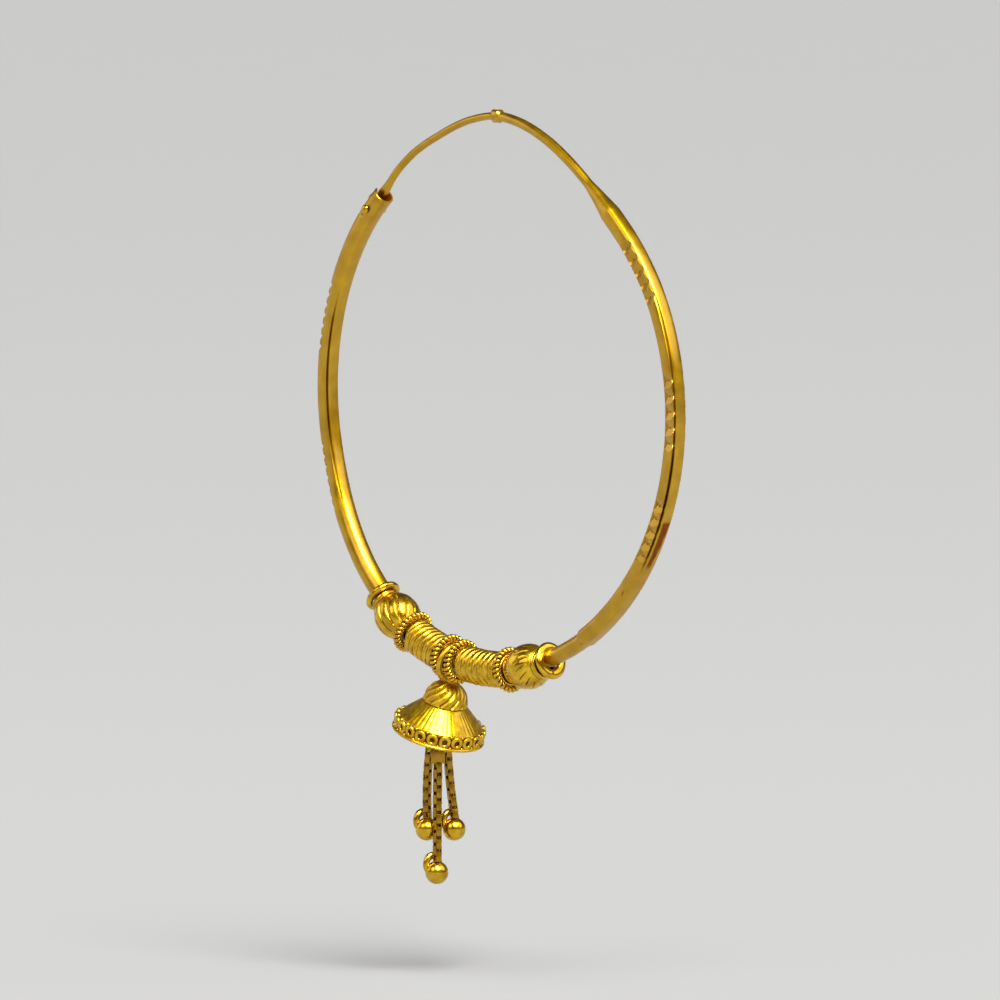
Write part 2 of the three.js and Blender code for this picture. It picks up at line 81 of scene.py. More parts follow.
def hoop_point(angle, radius):
    a = np.radians(angle)
    return np.stack([radius * np.sin(a), 0 * a, radius * np.cos(a)], -1) + hoop_middle


def square_to(angle):
    """The turn of a piece that sits square on the tube there."""
    along = hoop_point(angle + 1, hoop_radius(angle + 1)) - hoop_point(angle - 1, hoop_radius(angle - 1))
    return np.degrees(np.arctan2(-along[..., 2], along[..., 0]))


def seat(angle, sag=0.0, turn=None):
    """A place on the tube: X runs along it, Y to the back and Z out from the hoop's middle."""
    turn = square_to(angle) if turn is None else turn
    point = hoop_point(angle, hoop_radius(angle) + sag)
    return Matrix.Translation(Vector(point)) @ Matrix.Rotation(radians(turn), 4, "Y")


def alone(piece):
    """Selects one piece and nothing else."""
    bpy.ops.object.select_all(action="DESELECT")
    piece.select_set(True)
    bpy.context.view_layer.objects.active = piece
    return piece


def cleaned(piece):
    """Merges the points that lie together and turns the faces outward."""
    alone(piece)
    bpy.ops.object.mode_set(mode="EDIT")
    bpy.ops.mesh.select_all(action="SELECT")
    bpy.ops.mesh.remove_doubles(threshold=0.0004)
    bpy.ops.mesh.normals_make_consistent(inside=False)
    bpy.ops.object.mode_set(mode="OBJECT")
    return piece


def sheet_metal(name, rows, **marks):
    """A sheet drawn over rows of points. Edges that meet are soldered, and marks become attributes."""
    along, around = rows.shape[0] - 1, rows.shape[1] - 1
    bpy.ops.object.select_all(action="DESELECT")
    bpy.ops.mesh.primitive_grid_add(x_subdivisions=along, y_subdivisions=around, size=2)
    piece = bpy.context.object
    piece.name = name
    flat = np.empty(3 * len(piece.data.vertices))
    piece.data.vertices.foreach_get("co", flat)
    i = np.rint((flat[0::3] + 1) / 2 * along).astype(int)
    j = np.rint((flat[1::3] + 1) / 2 * around).astype(int)
    piece.data.vertices.foreach_set("co", rows[i, j].ravel())
    for mark, values in marks.items():
        made = piece.data.attributes.new(mark, "FLOAT", "POINT")
        made.data.foreach_set("value", values[i, j].ravel())
    return cleaned(piece)


def cut_out(piece, tool, operation="DIFFERENCE"):
    """Takes the shape of the tool out of the piece, or with "UNION" fuses the two."""
    alone(piece)
    cut = piece.modifiers.new("cut", "BOOLEAN")
    cut.operation = operation
    cut.solver = "EXACT"
    cut.object = tool
    bpy.ops.object.modifier_apply(modifier=cut.name)
    bpy.data.objects.remove(tool)
    return piece


def fitted(piece, place, node, body, material, smooth=35):
    """Sets a piece made at the bench in its place, gives it its finish and hangs it on its body."""
    piece.data.transform(Matrix.Scale(0.001, 4) @ place)
    piece.data.materials.clear()
    piece.data.materials.append(material)
    alone(piece)
    bpy.ops.object.shade_smooth_by_angle(angle=radians(smooth))
    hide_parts(node)
    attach(piece, body)
    return piece


class Value:
    """A value in a material, which Python's own signs can reckon with."""

    def __init__(self, socket):
        self.socket = socket

    def node(self, kind, settings, inputs, out=0):
        """A new node: its type, its settings, what its sockets are given, and the socket read."""
        tree = self.socket.id_data
        made = tree.nodes.new(kind)
        for key, setting in settings.items():
            setattr(made, key, setting)
        for key, given in inputs.items():
            if isinstance(given, Value):
                tree.links.new(given.socket, made.inputs[key])
            else:
                made.inputs[key].default_value = given
        return Value(made.outputs[out])

    def mixed(self, share, first, second):
        """A mix of two colours."""
        return self.node("ShaderNodeMix", {"data_type": "RGBA"}, {0: share, 6: first, 7: second}, 2)

    def reckon(self, operation, first, second):
        return self.node("ShaderNodeMath", {"operation": operation}, {0: first, 1: second})

    def __add__(self, other):
        return self.reckon("ADD", self, other)

    def __sub__(self, other):
        return self.reckon("SUBTRACT", self, other)

    def __rsub__(self, other):
        return self.reckon("SUBTRACT", other, self)

    def __mul__(self, other):
        return self.reckon("MULTIPLY", self, other)

    __radd__, __rmul__ = __add__, __mul__


def gold(name, deep, pale, roughness, cloud_size, grain_size, dent, marked=(), coat=0.22):
    """Gold with a cloudy colour, a fine worked grain and shallow dents, all sized in millimetres.
    `marked` names the attributes that darken it: (attribute, colour). `coat` is its clear gloss."""
    material = bpy.data.materials.new(name)
    material.use_nodes = True
    tree = material.node_tree
    shader = tree.nodes["Principled BSDF"]
    shader.inputs["Metallic"].default_value = 1.0
    shader.inputs["Coat Roughness"].default_value = 0.13
    shader.inputs["Coat IOR"].default_value = 1.75
    place = Value(tree.nodes.new("ShaderNodeTexCoord").outputs["Object"])
    noise = "ShaderNodeTexNoise"
    cloud = place.node(noise, {}, {"Vector": place, "Scale": 1000 / cloud_size, "Detail": 3.0})
    grain = place.node(noise, {}, {"Vector": place, "Scale": 1000 / grain_size, "Detail": 2.0})
    spread = cloud.node("ShaderNodeMapRange", {}, {"Value": cloud, "From Min": 0.3, "From Max": 0.7})
    colour = place.mixed(spread, deep, pale)
    rough = spread * 0.1 + grain * 0.12 + (roughness - 0.11)
    gloss = spread * 0.1 + coat
    # Each mark darkens the colour: most marks are painted shade, and some are real stains.
    for mark, stain_and_shade in marked:
        depth = place.node("ShaderNodeAttribute", {"attribute_name": mark}, {}, 2)
        colour = place.mixed(depth, colour, stain_and_shade)
        rough = rough + depth * 0.25
        gloss = gloss * (1 - depth)
    height = cloud * 0.75 + grain * 0.25
    bump = place.node("ShaderNodeBump", {}, {"Height": height, "Strength": 1.0, "Distance": dent * 0.001})
    tree.links.new(colour.socket, shader.inputs["Base Color"])
    tree.links.new(rough.socket, shader.inputs["Roughness"])
    tree.links.new(gloss.socket, shader.inputs["Coat Weight"])
    tree.links.new(bump.socket, shader.inputs["Normal"])
    return material


deep_gold = (0.45, 0.242, 0.002, 1)
pale_gold = (0.58, 0.336, 0.003, 1)
# Painted shade for grooves, slots, creases, bores and gaps between parts; it also darkens the toned patch
# on the tube.
soot = (0.11, 0.040, 0.002, 1)
# Red-brown of the toned patch on the tube, also painted inside the tube's bore as painted shade.
toning = (0.36, 0.08, 0.006, 1)

# Reach of the corners, squareness and depth of the corner groove along the tube.
tube_at = np.array([-1.6, 0.4, 0.9, 31, 36, 40.5, 149.6, 150.6, 220.1, 220.3, 244, 254, 284, 292, 309,
                    318.9])
tube_half = np.array([0.62, 0.62, 0.47, 0.47, 0.72, 0.98, 0.98, 0.8, 0.8, 1.02, 1.02, 0.98, 0.98, 0.98, 1,
                      1])
tube_square = np.array([0, 0, 0, 0, 0.4, 0.75, 1, 0, 0, 0, 0, 1, 1, 0.7, 0.3, 0])
groove_at = [61, 72, 94, 99, 108, 121, 126, 244, 256, 264, 274, 284, 296]
groove_depth = [0, 0.13, 0.2, 0.34, 0.34, 0.2, 0, 0, 0.14, 0.26, 0.26, 0.18, 0]
groove_half_width = 7.5  # degrees round the tube
lip_angle, collar_angle = -1.6, 318.9
face_reach = 0.86  # of the corners' reach, from the middle to a flat face


def run_of(centre, count, pitch, steps):
    """Stations that meet every edge and every valley of a row of cuts."""
    return centre + pitch * (np.arange(count * steps + 1) / steps - count / 2)


cut_groups, cuts, cut_depth = [(56.8, 3.2), (88.6, 3.4), (115.6, 3.1)], 5, 0.3  # centre and pitch of each
notch_centres, notch_pitch, notches, notch_depth = [285.9, 250.6], 2.29, 7, 0.28
plain = np.concatenate([np.arange(-1, 45, 1.0), np.arange(45, 127, 0.8), np.arange(127, 310, 1.0),
                        np.arange(310, 318.6, 0.25), tube_at[1:-1], tube_at[6:10] + 0.12])
worked = [run_of(centre, cuts, pitch, 16) for centre, pitch in cut_groups]
worked += [run_of(centre, notches, notch_pitch, 14) for centre in notch_centres]
for row in worked:
    plain = plain[(plain < row[0] - 0.1) | (plain > row[-1] + 0.1)]
ends = [-1.6, -1.55, -1.42, -1.25, 318.65, 318.76, 318.85, 318.9]
outside_at = np.unique(np.round(np.concatenate([plain, *worked, ends]), 4))
outside_at = outside_at[np.concatenate([[True], np.diff(outside_at) > 0.03])]
quarter = np.array([-36, -30, -22, -14, -7, 0, 7, 14, 22, 30, 36, 38.5, 41, 43, 45, 47, 49, 51.5])
round_it = np.concatenate([quarter + 90 * k for k in range(4)] + [[324.0]])

a, turn = outside_at[:, None], round_it[None, :]
off_face = (turn + 45) % 90 - 45
half = np.interp(a, tube_at, tube_half)
square = np.interp(a, tube_at, tube_square)
flat = face_reach / np.cos(np.radians(off_face))
blend = np.clip(0.12 - abs(flat - 1), 0, None) / 0.12
rounded = np.minimum(flat, 1) - blend**2 * 0.03
reach = half * (1 - square * (1 - rounded))

# Each group of cuts is five strokes of a square graver across the front and back faces.
stroke = np.full_like(a, 9.0)  # 0 at the middle of a stroke, 1 at its edge and more outside it
for centre, pitch in cut_groups:
    inside = abs(a - centre) < cuts / 2 * pitch
    place = (a - centre + cuts / 2 * pitch) % pitch - pitch / 2
    stroke = np.where(inside, abs(place) / (pitch / 2), stroke)
cut = cut_depth * np.clip(1 - stroke, 0, None)
for face, lean in ((270, 8), (90, -8)):
    off = (turn - face + 180) % 360 - 180
    level = (face_reach * half - cut) / np.cos(np.radians(np.clip(off + lean, -60, 60)))
    reach = np.where((abs(off) < 50) & (cut > 0), np.minimum(reach, level), reach)

# The left arm has finer slanted notches over its outer front corner.
notch_facing, notch_half_width, notch_slant = 322, 42, 0.035
off = (turn - notch_facing + 180) % 360 - 180
for centre in notch_centres:
    slid = a - centre + off * notch_slant + notches / 2 * notch_pitch
    place = abs(slid % notch_pitch - notch_pitch / 2) / (notch_pitch / 2)
    within = (slid > 0) & (slid < notches * notch_pitch) & (abs(off) < notch_half_width)
    across_notch = np.cos(np.radians(off * 90 / notch_half_width))
    reach -= np.where(within, notch_depth * np.clip(1 - place / 0.8, 0, 1) * across_notch, 0)

depth = np.interp(a, groove_at, groove_depth)
corner = np.clip(1 - (45 - abs(off_face)) / groove_half_width, 0, 1)
reach = reach - depth * corner**0.8
# Painted shade: the corner groove is darkened towards its bottom.
sooty = np.clip(depth / 0.32, 0, 1) * np.clip(corner * 1.5, 0, 1)

# The mouth and the lip are rolled, the lip is lumpy, and the collar has a dent and a solder lump.
from_end, rolled = np.minimum(a - lip_angle, collar_angle - a), 0.26
reach = reach - np.where(from_end < rolled, 0.10 * (1 - from_end / rolled) ** 2, 0)
lump = np.sin(np.radians(turn * 3 + a * 170)) * np.sin(np.radians(turn * 2 - a * 110 + 40))
reach = reach + 0.07 * lump * np.clip((0.9 - a) / 0.5, 0, 1)


def spot(at, facing, size):
    """A soft round spot of that size, at an angle round the hoop and facing that way on the tube."""
    off = (turn - facing + 180) % 360 - 180
    one_degree, tube_radius = 0.44, 0.98
    return np.exp(-(((a - at) * one_degree) ** 2 + (np.radians(off) * tube_radius) ** 2) / size**2)


reach = reach + 0.08 * spot(316.4, 318, 0.28) - 0.09 * spot(312.3, 282, 0.24) - 0.06 * spot(131.9, 284, 0.1)
# The dent on the collar and a small pit on the right arm are also painted darker.
sooty = sooty + 0.8 * spot(312.3, 282, 0.18) + 1.2 * spot(131.9, 284, 0.1)

# A patch on the right arm is toned red-brown. The inside of the tube is painted red-brown and darker as
# painted shade.
toned_patch_and_bore_shade = np.clip((a - 112.2) / 0.5, 0, 1) * np.clip((124.2 - a) / 1.5, 0, 1)
patch_at, patch_half = np.interp(a, [112, 124], [5, -15]), np.interp(a, [112, 124], [29, 16])
toned_patch_and_bore_shade = toned_patch_and_bore_shade * np.clip((patch_half - abs((turn - patch_at + 180) % 360 - 180)) / 3, 0, 1)
toned_patch_and_bore_shade *= 0.93 + 0.07 * np.sin(a * 2.1) * np.cos(np.radians(turn * 7))
sooty = np.maximum(sooty, 0.45 * toned_patch_and_bore_shade)

bore_at = np.concatenate([[-1.6, -1.5, -1.3], np.arange(-0.9, 0.5, 0.4), np.arange(0.9, 306, 3.0),
                          np.arange(306, 318.5, 0.5), [318.65, 318.8, 318.9]])[::-1]
bore = np.interp(bore_at, [-1.6, -1.5, 0.4, 0.9, 31, 40.5, 306, 309, 318.6, 318.75, 318.9],
                 [0.48, 0.42, 0.42, 0.28, 0.28, 0.58, 0.58, 0.72, 0.72, 0.745, 0.82])
all_at = np.concatenate([outside_at, bore_at, outside_at[:1]])
reach = np.concatenate([reach, np.broadcast_to(bore[:, None], (len(bore), len(round_it))), reach[:1]])
# Painted shade inside the bore: it is darkened and toned red-brown all round.
inner = np.full((len(bore), len(round_it)), 0.12)
sooty = np.concatenate([sooty, inner, sooty[:1]])
toned_patch_and_bore_shade = np.concatenate([toned_patch_and_bore_shade, 0.8 + 0 * inner, toned_patch_and_bore_shade[:1]])
tilt, turned_by = np.radians(square_to(all_at))[:, None], np.radians(turn)
middle = hoop_point(all_at, hoop_radius(all_at))[:, None, :]
out = np.stack([np.sin(tilt), 0 * tilt, np.cos(tilt)], -1)
side = reach * np.sin(turned_by)
rows = middle + (reach * np.cos(turned_by))[..., None] * out
rows[..., 1] += side
tube = sheet_metal("tube", rows, soot=np.clip(sooty, 0, 1), toning=toned_patch_and_bore_shade)

# The collar is open on top for the wire's tongue, and drilled from front to back for the rivet.
pin_seat = seat(314.1)
upright_to_back = Matrix.Rotation(radians(90), 4, "X")
pin_hole = 0.3
bpy.ops.mesh.primitive_cube_add(size=1)
slot = alone(bpy.context.object)
slot.data.transform(pin_seat @ Matrix.Translation((1.3, 0, 1)) @ Matrix.Diagonal((4, 0.94, 2, 1)))
cut_out(tube, slot)
bpy.ops.mesh.primitive_cylinder_add(vertices=32, radius=pin_hole, depth=4)
drill = alone(bpy.context.object)
drill.data.transform(pin_seat @ upright_to_back)
cut_out(tube, drill)
tube_marks = (("toning", toning), ("soot", soot))
satin = gold("satin_gold", deep_gold, pale_gold, 0.36, 1.6, 0.14, 0.004, tube_marks, coat=0.3)
fitted(tube, Matrix(), "hoop_tube", "hoop", satin, 16)

# ---- Hinge rivet --------------------------------------------------------------------------------
# A pin through the collar on which the ear wire swings. Its two ends are hammered over to low round
# heads, so they are a little uneven.


def joined(name, *parts):
    """Solders the parts into one piece."""
    alone(parts[0])
    for part in parts:
        part.select_set(True)
    bpy.ops.object.join()
    parts[0].name = name
    return parts[0]


bpy.ops.mesh.primitive_cylinder_add(vertices=32, radius=0.24, depth=2.1)
pin = alone(bpy.context.object)
heads = []
for end, seed in ((1, 3), (-1, 8)):
    bpy.ops.mesh.primitive_uv_sphere_add(segments=28, ring_count=16, radius=0.46)
    head = alone(bpy.context.object)
    bpy.ops.object.mode_set(mode="EDIT")
    bpy.ops.mesh.select_all(action="SELECT")
    bpy.ops.mesh.bisect(plane_co=(0, 0, 0), plane_no=(0, 0, -end), use_fill=True, clear_outer=True)
    bpy.ops.mesh.select_all(action="SELECT")
    bpy.ops.transform.resize(value=(1, 0.92, 0.5))
    bpy.ops.transform.vertex_random(offset=0.012, seed=seed)
    bpy.ops.transform.translate(value=(0, 0, 1.03 * end))
    bpy.ops.object.mode_set(mode="OBJECT")
    heads.append(head)
rivet = joined("rivet", pin, *heads)
bright_gold = (0.80, 0.515, 0.010, 1)
bright = gold("bright_gold", deep_gold, bright_gold, 0.19, 0.9, 0.1, 0.004)
fitted(rivet, pin_seat @ upright_to_back, "hinge_rivet", "hoop", bright, 50)

# ---- Ear wire -----------------------------------------------------------------------------------
# Drawn gold wire bent to a bow. It is flared and hammered flat where it goes into the collar, has an
# eye for the rivet, and is filed to a round tip that springs into the lip of the tube.

bow_at = np.array([-45.9, -42.5, -39.5, -37.4, -34.5, -28.4, -18.8, -9.8, -3.2, -2.02])
bow_radius = np.array([25.24, 25.32, 25.44, 25.68, 25.92, 26.22, 26.45, 26.95, 27.2, 27.2])
bow = np.concatenate([np.linspace(-45.9, -34, 60), np.linspace(-33.5, -3.2, 80),
                      np.linspace(-3.0, -2.02, 6)])
fine_at, beside = np.linspace(-46, -2, 441), 14
mean = np.ones(2 * beside + 1) / (2 * beside + 1)
bent_radius = np.pad(np.interp(fine_at, bow_at, bow_radius), beside, "edge")
bow_mid = hoop_point(bow, np.interp(bow, fine_at, np.convolve(bent_radius, mean, "valid")))
ahead = np.gradient(bow_mid, axis=0)
ahead /= np.linalg.norm(ahead, axis=1)[:, None]
outward = np.stack([-ahead[:, 2], 0 * bow, ahead[:, 0]], -1)
round_wire = np.radians(np.linspace(0, 360, 33))
flatness = np.clip((-37.5 - bow) / 3.5, 0, 1)[:, None]
power = 1 - 0.72 * flatness
c, s = np.cos(round_wire)[None, :], np.sin(round_wire)[None, :]
wire_radius = 0.355
wide = np.where(c > 0, wire_radius + 0.2 * flatness, wire_radius + 0.02 * flatness)
thick = wire_radius - 0.105 * flatness
rim = np.sign(c) * abs(c) ** power * wide
face = np.sign(s) * abs(s) ** power * thick
rows = bow_mid[:, None, :] + rim[..., None] * outward[:, None, :]
rows[..., 1] += face
cap = [rows[-1] * k + bow_mid[-1] * (1 - k) + ahead[-1] * wire_radius * (1 - k * k) ** 0.5
       for k in np.cos(np.radians([18, 36, 54, 72, 90]))]
shut = np.broadcast_to(bow_mid[:1, None, :], rows[:1].shape)
wire = sheet_metal("wire", np.concatenate([shut, rows, cap]))
bpy.ops.mesh.primitive_cylinder_add(vertices=40, radius=0.6, depth=0.5)
eye = alone(bpy.context.object)
eye.data.transform(pin_seat @ upright_to_back)
cut_out(wire, eye, "UNION")
bpy.ops.mesh.primitive_cylinder_add(vertices=32, radius=pin_hole, depth=4)
drill = alone(bpy.context.object)
drill.data.transform(pin_seat @ upright_to_back)
cut_out(wire, drill)
drawn = gold("drawn_gold", deep_gold, pale_gold, 0.36, 2.5, 0.2, 0.003)
fitted(wire, Matrix(), "ear_wire", "ear_wire", drawn)

# ---- End rings ----------------------------------------------------------------------------------
# A ring of plain round wire at each end of the row of beads, bent by hand, so not quite round, with
# its ends soldered.

wire_half = 0.32
for node, at, sag, twist, major, minor in (("end_ring_left", 221.2, 0.12, 20, 1.44, 0.34),
                                           ("end_ring_right", 162.8, 0.22, 200, 1.31, 0.48)):
    bpy.ops.mesh.primitive_torus_add(major_radius=major, minor_radius=minor, major_segments=96,
                                     minor_segments=24)
    ring = alone(bpy.context.object)
    ring.name = node.replace("end_", "")
    for point in ring.data.vertices:
        around = np.arctan2(point.co.y, point.co.x)
        joint = np.exp(-(around / 0.16) ** 2)
        point.co.x *= 1 + 0.015 * cos(2 * around) - 0.012 * joint
        point.co.z *= wire_half / minor * (1 + 0.12 * joint)
    place = seat(at, sag) @ Matrix.Rotation(radians(90), 4, "Y") @ Matrix.Rotation(radians(twist), 4, "Z")
    fitted(ring, place, node, "hoop", bright)

# ---- Fluted beads -------------------------------------------------------------------------------
# Hollow barrel beads of thin sheet. Slanted flutes are chased round the belly, each lapping the next
# with a slot between, and a turned groove sets off a small crown at each end. The slots, the grooves
# and the bore are painted dark as painted shade.

bead_along = np.array([0, 0.25, 0.5, 0.75, 1.0, 1.25, 1.5, 1.7, 1.82, 1.88, 1.94, 2.02, 2.1, 2.15])
bead_reach = np.array([2.17, 2.16, 2.13, 2.07, 1.98, 1.86, 1.72, 1.58, 1.47, 1.4, 1.42, 1.47, 1.42, 1.3])
bead_half, bead_bore, crown_at, best_side = 2.15, 1.2, 1.88, 335
for node, at, sag, twist, flutes, first, last, chased, neck in (
        ("fluted_bead_left", 214.9, 0.2, 15, 12, -1.75, 1.3, 1.0, 2.2),
        ("fluted_bead_right", 170.2, 0.18, -16, 15, -1.6, -0.2, 0.6, -2.2)):
    along = np.concatenate([np.linspace(-bead_half, -1.7, 14), np.linspace(-1.64, 1.64, 60),
                            np.linspace(1.7, bead_half, 14)])
    body = np.interp(abs(along), bead_along, bead_reach)[:, None]
    around = np.linspace(0, 360, flutes * 16 + 1)[None, :]
    share = ((around + twist * along[:, None]) * flutes / 360) % 1
    slot_side = np.clip(1 - share / 0.16, 0, 1) + np.clip((share - 0.93) / 0.07, 0, 1)
    petal = 1 - (1 - (2 * share - 1) ** 2) ** 0.5
    strength = np.clip(np.minimum(along - first, last - along) / 0.45, 0, 1)[:, None] ** 0.8
    strength = chased * strength * (0.65 + 0.35 * np.cos(np.radians(around - best_side)))
    reach = body - strength * (0.25 * slot_side + 0.18 * petal - 0.04)
    bore_rows = np.linspace(bead_half, -bead_half, 8)
    skin = np.concatenate([reach, np.full((8, reach.shape[1]), bead_bore), reach[:1]])
    x = np.concatenate([along, bore_rows, along[:1]])[:, None] + 0 * skin
    rows = np.stack([x, skin * np.sin(np.radians(around)), skin * np.cos(np.radians(around))], -1)
    rings = np.exp(-((abs(along) - crown_at) / 0.05) ** 2)[:, None]
    # Painted shade: the slots, the crown grooves and the bore are darkened.
    slot_shade = np.maximum(strength * np.clip(slot_side * 1.3 - 0.3, 0, 1), 0.7 * rings + 0 * share)
    slot_shade = np.concatenate([slot_shade, np.full((8, reach.shape[1]), 0.6), slot_shade[:1]])
    bead = sheet_metal(node.replace("fluted_", ""), rows, soot=slot_shade)
    bpy.ops.mesh.primitive_torus_add(major_radius=1.3, minor_radius=0.12, major_segments=72,
                                     minor_segments=16)
    collar = alone(bpy.context.object)
    collar.data.transform(Matrix.Translation((neck, 0, 0)) @ Matrix.Diagonal((1.7, 1, 1, 1))
                          @ Matrix.Rotation(radians(90), 4, "Y"))
    bead = joined(bead.name, bead, collar)
    beaten = gold(bead.name + "_gold", deep_gold, bright_gold, 0.25, 1.1, 0.1, 0.006, (("soot", soot),))
    fitted(bead, seat(at, sag), node, "hoop", beaten, 40)

# ---- Rope rings ---------------------------------------------------------------------------------
# Fine gold wire wound into a close coil and bent round into a ring, soldered on a thin bush that
# slides on the tube. The windings show as a row of short slanted bars.


def drawn_wire(name, points, radius, closed=False, sides=3):
    """Round wire laid through the points."""
    line = bpy.data.curves.new(name, "CURVE")
    line.dimensions = "3D"
    run = line.splines.new("POLY")
    run.points.add(len(points) - 1)
    run.points.foreach_set("co", np.column_stack([points, np.ones(len(points))]).ravel())
    run.use_cyclic_u = closed
    line.bevel_depth, line.bevel_resolution, line.use_fill_caps = radius, sides, not closed
    made = bpy.data.objects.new(name, line)
    bpy.context.scene.collection.objects.link(made)
    alone(made)
    bpy.ops.object.convert(target="MESH")
    return bpy.context.object


rope = gold("rope_gold", deep_gold, bright_gold, 0.22, 0.7, 0.08, 0.003, (("soot", soot),))
slack = 0.28  # loose pieces hang this far below the middle of the tube
turns, steps = 27, 18
for node, at, start in (("rope_ring_1", 209.1, 0), ("rope_ring_2", 196.65, 5),
                        ("rope_ring_3", 192.3, 9), ("rope_ring_4", 176.15, 3)):
    go = np.radians(np.arange(turns * steps) * 360 / (turns * steps) + start)
    wind = np.radians(np.arange(turns * steps) * 360 / steps)
    wave = 1 + 0.006 * np.sin(3 * go + start)
    major = (1.81 + 0.215 * np.cos(wind)) * wave
    points = np.stack([0.225 * np.sin(wind), major * np.sin(go), major * np.cos(go)], -1)
    coil_wire = drawn_wire("winding", points, 0.165, closed=True)
    bpy.ops.mesh.primitive_torus_add(major_radius=1.4, minor_radius=0.2, major_segments=64,
                                     minor_segments=16)
    bush = alone(bpy.context.object)
    bush.data.transform(Matrix.Rotation(radians(90), 4, "Y") @ Matrix.Diagonal((1, 1, 1.2, 1)))
    ring = joined(node.replace("_ring", ""), coil_wire, bush)
    fitted(ring, seat(at, slack), node, "hoop", rope, 60)

# ---- Coils --------------------------------------------------------------------------------------
# Sleeves of half round wire wound tight on the tube, turn against turn, and bent to its curve. The
# ends of the wire are filed and pressed flat against the next piece.

wound = gold("wound_gold", deep_gold, bright_gold, 0.29, 0.8, 0.09, 0.003, (("soot", soot),))
steps, coil_reach, wire_rise, bent_to = 64, 1.5, 0.24, 25.3
for node, at, turns, pitch in (("coil_left", 202.87, 7, 0.655), ("coil_right", 184.22, 8, 0.765)):
    count = turns * steps
    go = np.radians(np.arange(count + 1) * 360 / steps - 70)
    last = pitch * (turns - 1) / 2
    middle_x = np.clip((np.arange(count + 1) / count - 0.5) * pitch * turns, -last, last)
    section = np.radians(np.linspace(0, 360, 17))[None, :]
    from_end = np.minimum(np.arange(count + 1), count - np.arange(count + 1))
    taper = np.clip(from_end / 20 + 0.15, 0, 1)[:, None]
    x = middle_x[:, None] + pitch * 0.49 * np.cos(section) * taper
    reach = coil_reach + wire_rise * np.sin(section) * taper
    reach = reach + 0.012 * np.sin(go * 1.3)[:, None]
    curl = x / bent_to
    height = bent_to + reach * np.cos(go)[:, None]
    rows = np.stack([height * np.sin(curl), reach * np.sin(go)[:, None],
                     height * np.cos(curl) - bent_to], -1)
    ends = [np.broadcast_to(rows[k].mean(0), rows[k].shape)[None] for k in (0, -1)]
    rows = np.concatenate([ends[0], rows, ends[1]])
    # Painted shade: the wire is darkened where it dips toward the tube, between the turns.
    under = np.clip((1.42 - np.concatenate([reach[:1], reach, reach[-1:]])) / 0.12, 0, 1)
    coil = sheet_metal(node.replace("coil", "winding"), rows, soot=under)
    fitted(coil, seat(at, slack), node, "hoop", wound, 50)

# ---- Bell ---------------------------------------------------------------------------------------
# A bell of thin sheet under a swirled dome, hung from a wire loop that turns on the hoop. The skirt is
# chased with fine ribs. Its rim is a band of wire loops set side by side between rows of grains, and
# everything is soldered together. A post with an eye hangs inside. Z runs down from the tube's middle.

drop_angle, drop_tilt = 194.5, 198.5  # where the loop hangs on the hoop, and the lean of its Z axis
eye_down = 7.35
fan_turn = 49  # the eye, the ring and the fan of chains are turned this far about Z
dome_facets, band_loops = 12, 22


def copied(piece):
    """Another of the same, with a mesh of its own."""
    twin = piece.copy()
    twin.data = piece.data.copy()
    bpy.context.scene.collection.objects.link(twin)
    return twin


def lathe(name, profile, count, shape, **marks):
    """A turned sheet about Z through [radius, down] points, then shaped by a share of its radius."""
    radius, down = (np.array(column)[:, None] for column in zip(*profile))
    around = np.linspace(0, 360, count + 1)[None, :]
    reach = radius * shape(radius, down, around)
    a = np.radians(around)
    rows = np.stack([reach * np.cos(a), reach * np.sin(a), down + 0 * a], -1)
    marks = {mark: value(radius, down, around) + 0 * reach for mark, value in marks.items()}
    return sheet_metal(name, rows, **marks)


dome_turn = np.radians(np.linspace(2, 90, 30))
dome = [(0.0, 2.5)] + [(2.2 * sin(t), 4.62 - 2.12 * cos(t)) for t in dome_turn]
dome += [(2.19, 4.66), (2.12, 4.72), (2.0, 4.74), (1.9, 4.7), (1.9, 4.4)]


def facet_share(down, around):
    return (around * dome_facets / 360 - (down - 2.5) * 0.9) % 1


def swirl(radius, down, around):
    share = facet_share(down, around)
    facet = 0.14 * (1 - (1 - (2 * share - 1) ** 2) ** 0.5) + 0.05 * share - 0.01
    return 1 - facet * np.clip((down - 2.55) / 0.4, 0, 1) * np.clip((4.68 - down) / 0.12, 0, 1)


# Painted shade in the creases between the facets and along the dome's lower edge.
def swirl_soot(radius, down, around):
    share = facet_share(down, around)
    crease = np.clip(1 - np.minimum(share, 1 - share) / 0.07, 0, 1) * np.clip((down - 2.8) / 0.4, 0, 1)
    return np.maximum(0.75 * crease, np.clip((down - 4.66) / 0.05, 0, 1) * 0.9)


cap = lathe("cap", dome, dome_facets * 20, swirl, soot=swirl_soot)

# Down the outside of the skirt and the band, round the rim and up the inside, as (radius, down).
skirt = [(2.0, 4.72), (2.08, 4.76), (2.2, 4.86), (2.5, 5.12), (2.9, 5.5), (3.3, 5.88), (3.7, 6.27),
         (4.0, 6.58), (4.06, 6.66), (4.08, 6.8), (4.09, 7.0), (4.12, 7.3), (4.16, 7.6), (4.28, 7.76),
         (4.4, 7.8), (4.47, 7.88), (4.48, 7.96), (4.44, 8.04), (4.38, 8.06), (4.3, 8.03), (4.1, 7.8),
         (4.0, 7.4), (3.92, 6.9), (3.8, 6.65), (3.3, 6.16), (2.8, 5.66), (2.3, 5.2), (1.9, 4.9),
         (1.0, 4.85), (0.0, 4.85)]
fine = []
for (r0, d0), (r1, d1) in zip(skirt[:-1], skirt[1:]):
    pieces = 3 if d1 > d0 else 1
    fine += [(r0 + (r1 - r0) * k / pieces, d0 + (d1 - d0) * k / pieces) for k in range(pieces)]
fine.append(skirt[-1])


